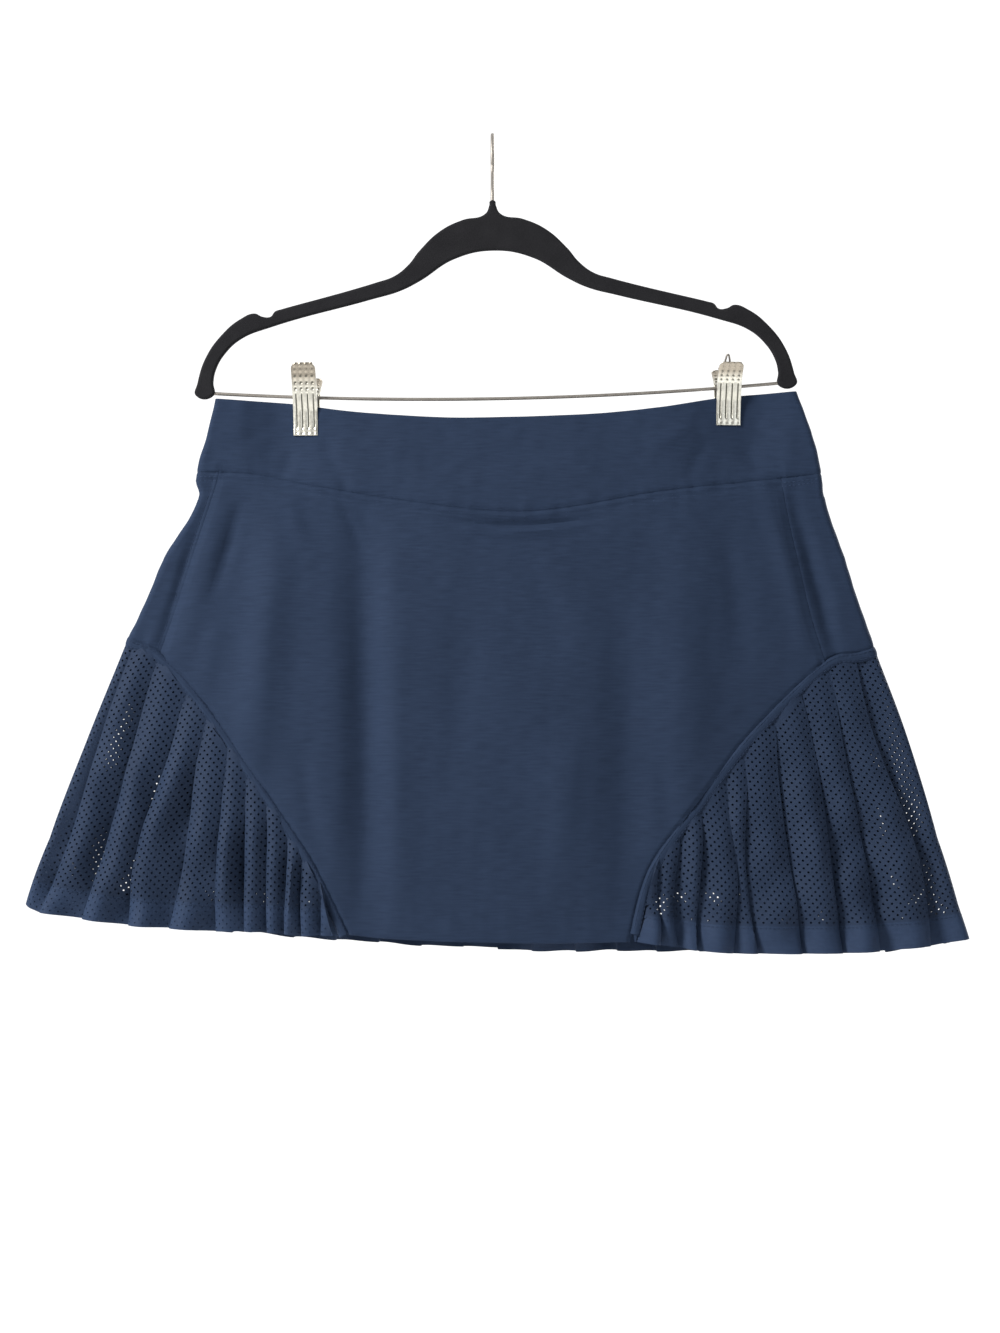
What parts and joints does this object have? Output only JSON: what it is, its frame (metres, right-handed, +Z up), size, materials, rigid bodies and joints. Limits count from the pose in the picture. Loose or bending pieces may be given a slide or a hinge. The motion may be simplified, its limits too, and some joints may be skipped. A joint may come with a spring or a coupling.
{
  "type": "tennis skort on a clip hanger",
  "caption": "Women's tennis skort with a wide waistband, swept front panel, pleated perforated flounces and inner shorts, hung by two clips from a slim velvet hanger.",
  "frame": {"origin": "the bearing point inside the top of the hanger's hook, where it rests on a rail", "axes": "+X towards the right of someone who looks at the skort's front, +Y towards its back, +Z up"},
  "size_m": [0.6956, 0.0647, 0.6023],
  "materials": {
    "navy_jersey": "smooth polyester knit with a faint sheen",
    "navy_mesh": "perforated polyester knit with a faint sheen",
    "black_velvet": "short flocked nap",
    "bright_steel": "bright nickel plate"
  },
  "bodies": {
    "root": {"waistband_front": "navy_jersey", "waistband_back": "navy_jersey", "front_panel": "navy_jersey", "back_panel": "navy_jersey", "side_panel_left": "navy_jersey", "side_panel_right": "navy_jersey", "flounce_left": "navy_mesh", "flounce_right": "navy_mesh", "flounce_back_left": "navy_mesh", "flounce_back_right": "navy_mesh", "binding_left": "navy_jersey", "binding_right": "navy_jersey", "binding_back": "navy_jersey", "shorts_left": "navy_jersey", "shorts_right": "navy_jersey", "hanger_body": "black_velvet", "hanger_hook": "bright_steel", "hanger_bar": "bright_steel", "clip_left_front": "bright_steel", "clip_left_back": "bright_steel", "clip_left_spring": "bright_steel", "clip_right_front": "bright_steel", "clip_right_back": "bright_steel", "clip_right_spring": "bright_steel"}
  },
  "joints": []
}
